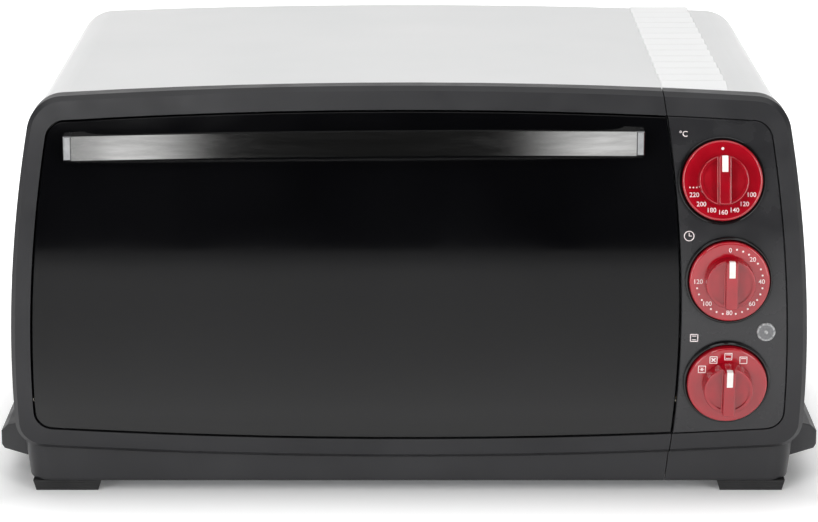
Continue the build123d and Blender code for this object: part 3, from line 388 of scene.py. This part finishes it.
# %% Give each CAD node its finish
FINISHES = [
    (bezel_plastic, ["front_frame_left", "front_frame_right"]),
    (plate_plastic, ["control_plate"]),
    (grip_plastic, ["side_grip_left", "side_grip_right"]),
    (cap_zinc, ["handle_end_caps"]),
    (foot_rubber, ["front_feet", "rear_feet", "cord_gland"]),
    (ring_plastic, ["dial_rings"]),
    (inner_plastic, ["thermostat_body", "timer_body", "selector_switch", "rear_spacers"]),
    (dial_red, ["temperature_dial", "timer_dial", "function_dial"]),
    (knob_red, ["temperature_knob", "timer_knob", "function_knob"]),
    (pointer_white, ["temperature_pointer", "timer_pointer", "function_pointer"]),
    (wrapper_paint, ["outer_wrapper"]),
    (cavity_enamel, ["cavity_liner", "cavity_back_wall"]),
    (tray_enamel, ["baking_tray", "crumb_tray"]),
    (handle_steel, ["door_handle"]),
    (pin_steel, ["hinge_pins", "fan_shaft", "temperature_shaft", "timer_shaft", "function_shaft",
                 "thermostat_sensor"]),
    (chromed_wire, ["wire_rack", "timer_bell"]),
    (fan_aluminium, ["fan_impeller"]),
    (bush_brass, ["hinge_bushes"]),
    (screw_plate, ["case_screws", "handle_screws"]),
    (zinc_sheet, ["control_bracket", "base_pan", "rear_panel", "rack_guide_left", "rack_guide_right",
                  "heater_clips", "heat_shield", "fan_housing", "fan_motor", "door_inner_frame",
                  "door_hinge_arms"]),
    (heater_steel, ["upper_heater", "lower_heater"]),
    (insulator_ceramic, ["heater_insulators", "terminal_block"]),
    (blanket_fibre, ["insulation_blanket"]),
    (door_tint, ["door_glass"]),
    (lens_clear, ["indicator_lens"]),
    (lamp_glow, ["indicator_lamp"]),
]
for material, names in FINISHES:
    for name in names:
        nodes[name].data.materials.clear()
        nodes[name].data.materials.append(material)
dressed = {name for _, names in FINISHES for name in names}
print("nodes without a finish:", sorted(set(nodes) - dressed))

# %% [markdown]
# The handle is bent from strip whose edges were rolled, not cut. A Bevel modifier rounds them by 0.8 mm, and
# the round edge draws the thin bright line along the handle's top. Its angle limit leaves the bow alone.

# %% Rolled edge of the handle
edge = nodes["door_handle"].modifiers.new("rolled_edge", "BEVEL")
edge.width = 0.8 * MM
edge.segments = 3
edge.limit_method = "ANGLE"
edge.angle_limit = math.radians(50)
print("rolled edge:", round(edge.width / MM, 2), "mm")

# %% [markdown]
# New pieces are built in bmesh and become an object at the origin. One helper turns a bmesh into a piece: it
# fixes the normals, smooths the curved faces, gives it a finish and lets it ride on its CAD body.

# %% Piece helper
SMOOTH_ANGLE = math.radians(35)


def make_piece(name, mesh_data, material, body):
    """Turns a bmesh into a named piece of the oven."""
    bmesh.ops.recalc_face_normals(mesh_data, faces=mesh_data.faces)
    for face in mesh_data.faces:
        face.smooth = True
    for edge in mesh_data.edges:
        edge.smooth = len(edge.link_faces) == 2 and edge.calc_face_angle(0) < SMOOTH_ANGLE
    mesh = bpy.data.meshes.new(name)
    mesh_data.to_mesh(mesh)
    mesh_data.free()
    piece = bpy.data.objects.new(name, mesh)
    bpy.context.scene.collection.objects.link(piece)
    mesh.materials.append(material)
    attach(piece, body)
    print(name, "faces:", len(mesh.polygons))


# %% [markdown]
# The dials carry printed numbers. On the real part the ink is a few hundredths of a millimetre thick. Text is
# made with Blender's own font, given a hair of thickness, turned into a mesh and laid on the dial's face.
# Spots and straight bars are plain cylinders and boxes of the same thickness.

# %% Printing helpers
INK = 0.05 * MM
FONT_SIZE = 1.42        # size of the font over the height of its digits
INK_SPREAD = 0.015 * MM


def print_text(ink, words, place, height_mm):
    """Adds words to a bmesh, centred on a place."""
    letters = bpy.data.curves.new("letters", "FONT")
    letters.body = words
    letters.align_x = "CENTER"
    letters.align_y = "CENTER"
    letters.size = height_mm * MM * FONT_SIZE
    letters.extrude = INK / 2
    letters.resolution_u = 4
    letters.offset = INK_SPREAD
    writer = bpy.data.objects.new("writer", letters)
    bpy.context.scene.collection.objects.link(writer)
    bpy.context.view_layer.update()
    shape = bpy.data.meshes.new_from_object(writer)
    shape.transform(place @ Matrix.Translation((0, 0, INK / 2)))
    ink.from_mesh(shape)
    bpy.data.objects.remove(writer)
    bpy.data.meshes.remove(shape)


def print_dot(ink, place, x_mm, y_mm, diameter_mm):
    """A round spot of ink."""
    spot = place @ Matrix.Translation((x_mm * MM, y_mm * MM, INK / 2))
    bmesh.ops.create_cone(ink, cap_ends=True, segments=20, radius1=diameter_mm / 2 * MM,
                          radius2=diameter_mm / 2 * MM, depth=INK, matrix=spot)


def print_bar(ink, place, x_mm, y_mm, width_mm, height_mm, turn_deg=0.0):
    """A straight bar of ink; on the screw heads, a bar of painted shade."""
    size = Matrix.Diagonal((width_mm * MM, height_mm * MM, INK, 1))
    turn = Matrix.Rotation(math.radians(turn_deg), 4, "Z")
    spot = place @ Matrix.Translation((x_mm * MM, y_mm * MM, INK / 2)) @ turn
    bmesh.ops.create_cube(ink, size=1.0, matrix=spot @ size)


def around(radius_mm, clockwise_deg):
    """A point on a circle, counted clockwise from the top."""
    angle = math.radians(clockwise_deg)
    return radius_mm * math.sin(angle), radius_mm * math.cos(angle)


print("ink is", INK / MM, "mm thick")

# %% [markdown]
# The thermostat dial runs from 100 to 220 degrees round its lower half, with a single spot at the top for
# off and a short row of three spots past 220.

# %% Thermostat printing
PRINT_RADIUS = 17.9
DIGIT_HEIGHT = 2.6
OFF_SPOT = 1.7
FIRST_ANGLE, ANGLE_STEP = 116.6, 21.07
ROW_START, ROW_STEP, ROW_SPOT = (-18.4, -3.9), 1.9, 0.9
face = on_front(*KNOB_PLACES["temperature"], DIAL_HEIGHT)
ink = bmesh.new()
print_dot(ink, face, 0, PRINT_RADIUS, OFF_SPOT)
for step, degrees in enumerate(range(100, 240, 20)):
    x, y = around(PRINT_RADIUS, FIRST_ANGLE + ANGLE_STEP * step)
    print_text(ink, str(degrees), face @ Matrix.Translation((x * MM, y * MM, 0)), DIGIT_HEIGHT)
for step in range(3):
    print_dot(ink, face, ROW_START[0] + ROW_STEP * step, ROW_START[1], ROW_SPOT)
make_piece("temperature_print", ink, print_ink, "oven")

# %% [markdown]
# The timer is marked every twenty minutes up to two hours, with three spots between each pair of numbers.

# %% Timer printing
NUMBER_STEP = 45
SPOTS_BETWEEN = 3
SPOT_RADIUS = PRINT_RADIUS + 0.8
SPOT_SIZE = 1.1
face = on_front(*KNOB_PLACES["timer"], DIAL_HEIGHT)
ink = bmesh.new()
for step, minutes in enumerate(range(0, 140, 20)):
    x, y = around(PRINT_RADIUS, NUMBER_STEP * step)
    print_text(ink, str(minutes), face @ Matrix.Translation((x * MM, y * MM, 0)), DIGIT_HEIGHT)
    if minutes < 120:
        for spot in range(1, SPOTS_BETWEEN + 1):
            x, y = around(SPOT_RADIUS, NUMBER_STEP * (step + spot / (SPOTS_BETWEEN + 1)))
            print_dot(ink, face, x, y, SPOT_SIZE)
make_piece("timer_print", ink, print_ink, "oven")

# %% [markdown]
# The function dial has four small signs: thawing, fan, both heating rods and the grill. Each is a square
# outline of thin bars with a few strokes inside.

# %% Function signs


def print_square(ink, place, x, y, size, line):
    """An outline of four bars."""
    half = (size - line) / 2
    for side in (-1, 1):
        print_bar(ink, place, x, y + side * half, size, line)
        print_bar(ink, place, x + side * half, y, line, size)


SIGN_ANGLES = {"thaw": -56, "fan": -28, "rods": 0, "grill": 29}
SIGN_RADIUS = PRINT_RADIUS - 0.2
SIGN = 4.4
STROKE = 0.42
ROD_LENGTH, ROD_RISE = 2.8, 1.1
FLAKE_LENGTH = 2.6
BLADE_LENGTH, BLADE_WIDTH, BLADE_OUT = 1.5, 0.8, 0.8
face = on_front(*KNOB_PLACES["function"], DIAL_HEIGHT)
ink = bmesh.new()
for sign, angle in SIGN_ANGLES.items():
    x, y = around(SIGN_RADIUS, angle)
    print_square(ink, face, x, y, SIGN, STROKE)
    if sign == "thaw":
        for turn in (0, 60, 120):
            print_bar(ink, face, x, y, FLAKE_LENGTH, STROKE * 0.8, turn)
    if sign == "fan":
        for turn in (45, 135):
            for side in (-1, 1):
                out_x, out_y = around(BLADE_OUT * side, turn)
                print_bar(ink, face, x + out_x, y + out_y, BLADE_LENGTH, BLADE_WIDTH, 90 - turn)
    if sign in ("rods", "grill"):
        print_bar(ink, face, x, y + ROD_RISE, ROD_LENGTH, STROKE)
    if sign == "rods":
        print_bar(ink, face, x, y - ROD_RISE, ROD_LENGTH, STROKE)
make_piece("function_print", ink, print_ink, "oven")

# %% [markdown]
# Beside the dials, the plate says what they are for: a degree sign, a clock face and a small oven sign.
# The clock's rim is a ring of short bars, which is round enough at this size.

# %% Plate printing
DEGREE_PLACE = (154.3, 211.2)
CLOCK_PLACE = (157.6, 155.4)
OVEN_PLACE = (161.4, 96.7)
DEGREE_HEIGHT = 3.2
CLOCK_BARS, CLOCK_BAR, CLOCK_RADIUS = 24, 0.8, 2.7
LONG_HAND, SHORT_HAND = 1.9, 1.6
OVEN_SIZE, ROD = 4.6, (2.6, 0.4)
LINE = 0.45
ink = bmesh.new()
print_text(ink, "°C", on_front(*DEGREE_PLACE), DEGREE_HEIGHT)
clock = on_front(*CLOCK_PLACE)
for step in range(CLOCK_BARS):
    turn = 360 / CLOCK_BARS * step
    x, y = around(CLOCK_RADIUS, turn)
    print_bar(ink, clock, x, y, CLOCK_BAR, LINE, -turn)
print_bar(ink, clock, 0, 0.8, LINE, LONG_HAND)
print_bar(ink, clock, 0.7, 0, SHORT_HAND, LINE)
oven_sign = on_front(*OVEN_PLACE)
print_square(ink, oven_sign, 0, 0, OVEN_SIZE, LINE)
for side in (1, -1):
    print_bar(ink, oven_sign, 0, ROD_RISE * side, *ROD)
make_piece("plate_print", ink, print_ink, "oven")

# %% [markdown]
# The screws in the back have cross recesses. From any distance a recess is a dark cross of shade, so each
# head gets two thin dark bars that lie on it: painted shade in place of the hollow.

# %% Painted shade of the cross recesses
SCREW_HEAD_RADIUS = 3.6
RECESS_LENGTH, RECESS_WIDTH = 3.4, 0.7
# Dark bars of black gloss plastic: painted shade where each cross recess would be hollow.
recess_shade = bmesh.new()
screw_low, screw_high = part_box("case_screws")
screw_x = (screw_high.x - screw_low.x) / 2 / MM - SCREW_HEAD_RADIUS
screw_places = ((-screw_x, 40), (-screw_x, 200), (0, 221.2), (screw_x, 200), (screw_x, 60), (0, 20))
backwards = Matrix.Rotation(math.radians(-90), 4, "X")
for x_mm, z_mm in screw_places:
    head = Matrix.Translation((x_mm * MM, screw_high.y, z_mm * MM)) @ backwards
    for turn in (45, -45):
        print_bar(recess_shade, head, 0, 0, RECESS_LENGTH, RECESS_WIDTH, turn)
make_piece("screw_recess_shade", recess_shade, ring_plastic, "oven")

# %% [markdown]
# The studio floor is white and runs far behind the oven. It gives off a little light of its own, so that it
# reads as white without strong lamps on the oven. Close to the oven it gives off less, and there the soft
# shadow stays. Only the camera, mirrors and glass see that light: Light Path keeps it off everything else.

# %% Floor
NEAR_GLOW, FAR_GLOW = 0.06, 0.66
BESIDE = (0.225, 0.3)
IN_FRONT = (-0.22, -0.145)
BEHIND = (0.15, 0.22)
FLOOR_REACH = 8.0
floor_paint = layered("white_studio_floor", "FBFBFB", "F8F8F8", gloss=(0.8, 0.9), grain_mm=6,
                      grain_depth_mm=0.01, patch_mm=400)
tree = floor_paint.node_tree
parts = add_node(tree, "SeparateXYZ", {0: add_node(tree, "TexCoord", output="Object")}).node.outputs
aside = add_node(tree, "Math", {0: parts["X"]}, operation="ABSOLUTE")
glow = NEAR_GLOW
for value, span, ends in ((aside, BESIDE, (NEAR_GLOW, FAR_GLOW)),
                          (parts["Y"], IN_FRONT, (FAR_GLOW, NEAR_GLOW)),
                          (parts["Y"], BEHIND, (NEAR_GLOW, FAR_GLOW))):
    clear = add_node(tree, "MapRange", stretched(value, span, ends))
    glow = add_node(tree, "Math", {0: glow, 1: clear}, operation="MAXIMUM")
rays = add_node(tree, "LightPath").node.outputs
seen = rays["Is Camera Ray"]
for ray in ("Is Glossy Ray", "Is Transmission Ray"):
    seen = add_node(tree, "Math", {0: seen, 1: rays[ray]}, operation="MAXIMUM")
surface = tree.nodes["Principled BSDF"]
surface.inputs["Emission Color"].default_value = (1, 1, 1, 1)
surface.inputs["Specular IOR Level"].default_value = 0.0
add_node(tree, "Math", {0: glow, 1: seen}, into=surface.inputs["Emission Strength"], operation="MULTIPLY")
floor_mesh = bmesh.new()
bmesh.ops.create_grid(floor_mesh, x_segments=1, y_segments=1, size=FLOOR_REACH)
floor_data = bpy.data.meshes.new("studio_floor")
floor_mesh.to_mesh(floor_data)
floor_mesh.free()
floor = bpy.data.objects.new("studio_floor", floor_data)
bpy.context.scene.collection.objects.link(floor)
floor_data.materials.append(floor_paint)
print("floor reaches", FLOOR_REACH, "m each way")

# %% [markdown]
# A broad soft lamp hangs above and a little behind, a weaker one above the front, and one more lights the
# floor at the back. Two upright strips in front draw the bright bands on the handle, and a small high lamp
# draws the bright arcs on the rims of dials and rings.

# %% Lamps


def softbox(name, place, aim, size, power):
    """A rectangular lamp that looks from a place towards a point."""
    lamp = bpy.data.lights.new(name, "AREA")
    lamp.shape = "RECTANGLE"
    lamp.size, lamp.size_y = size
    lamp.energy = power
    holder = bpy.data.objects.new(name, lamp)
    bpy.context.scene.collection.objects.link(holder)
    holder.location = place
    holder.rotation_euler = (Vector(aim) - Vector(place)).to_track_quat("-Z", "Y").to_euler()
    print(name, power, "W")


softbox("key_above", place=(0, 0.2, 1.8), aim=(0, 0.05, 0), size=(2.6, 1.7), power=15)
softbox("fill_front", place=(0, -1.3, 1.9), aim=(0, -0.2, 0), size=(1.8, 0.7), power=8)
softbox("spot_dials", place=(-0.35, -1.3, 1.0), aim=(0.15, -0.17, 0.13), size=(0.25, 0.18), power=2.5)
softbox("floor_behind", place=(0, 3.0, 2.2), aim=(0, 2.2, 0), size=(4.5, 2.6), power=45)
softbox("strip_left", place=(-1.35, -2.0, 0.6), aim=(0, -0.1, 0.12), size=(0.4, 1.5), power=20)
softbox("strip_right", place=(1.35, -2.0, 0.6), aim=(0, -0.1, 0.12), size=(0.4, 1.5), power=18)

# %% [markdown]
# The world is pale along the horizon behind the oven and darker overhead. In front of it the studio is dark,
# with one pale column on each side and pale walls further out: that is what the glass and the handle mirror.
# A direction's X, Y and Z say how far it points aside, back and up, so the world is drawn by ramps on them.

# %% World
SKYLINE, SKY_LEVELS = (0.1, 0.3), (0.95, 0.12)
COLUMN_START, COLUMN_LEVELS = (0.18, 0.33), (0.01, 1.35)
COLUMN_END, PAST_COLUMN = (0.335, 0.39), (1.0, 0.1)
WALL_START, WALL_LEVELS = (0.45, 0.62), (0.0, 0.8)
OVERHEAD, OVERHEAD_SHARE = (0.3, 0.6), (1.0, 0.25)
FRONT_TO_BACK = (-0.3, 0.2)
world = bpy.data.worlds.new("studio_world")
bpy.context.scene.world = world
world.use_nodes = True
sky = world.node_tree
direction = add_node(sky, "TexCoord", output="Generated")
side, back, up = add_node(sky, "SeparateXYZ", {0: direction}).node.outputs
behind = add_node(sky, "MapRange", stretched(up, SKYLINE, SKY_LEVELS))
aside = add_node(sky, "Math", {0: side}, operation="ABSOLUTE")
rise = add_node(sky, "MapRange", stretched(aside, COLUMN_START, COLUMN_LEVELS),
                interpolation_type="SMOOTHERSTEP")
fall = add_node(sky, "MapRange", stretched(aside, COLUMN_END, PAST_COLUMN))
column = add_node(sky, "Math", {0: rise, 1: fall}, operation="MULTIPLY")
wall = add_node(sky, "MapRange", stretched(aside, WALL_START, WALL_LEVELS))
columns = add_node(sky, "Math", {0: column, 1: wall}, operation="ADD")
dimming = add_node(sky, "MapRange", stretched(up, OVERHEAD, OVERHEAD_SHARE))
before = add_node(sky, "Math", {0: columns, 1: dimming}, operation="MULTIPLY")
backward = add_node(sky, "MapRange", stretched(back, FRONT_TO_BACK))
level = add_node(sky, "Mix", {"Factor": backward, "A": before, "B": behind})
add_node(sky, "CombineColor", {0: level, 1: level, 2: level}, into=sky.nodes["Background"].inputs["Color"])
print("world made of", len(sky.nodes), "nodes")

# %% [markdown]
# The photograph was taken with a long lens from a little above, so the camera stands 1.7 m in front of the
# door, tips down 13.9 degrees and takes a narrow field.

# %% Camera
CAMERA_DISTANCE = 1719.9 * MM
CAMERA_HEIGHT = 567.3 * MM
CAMERA_TIP = 13.9
camera_data = bpy.data.cameras.new("camera")
camera_data.lens = 138.6
camera_data.sensor_width = 36
camera_data.clip_end = 50
camera = bpy.data.objects.new("camera", camera_data)
bpy.context.scene.collection.objects.link(camera)
camera.location = (0, apex_y - CAMERA_DISTANCE, CAMERA_HEIGHT)
camera.rotation_euler = (math.radians(90 - CAMERA_TIP), 0, 0)
bpy.context.scene.camera = camera
bpy.context.scene.view_settings.view_transform = "Standard"
print("camera at", [round(v, 4) for v in camera.location])
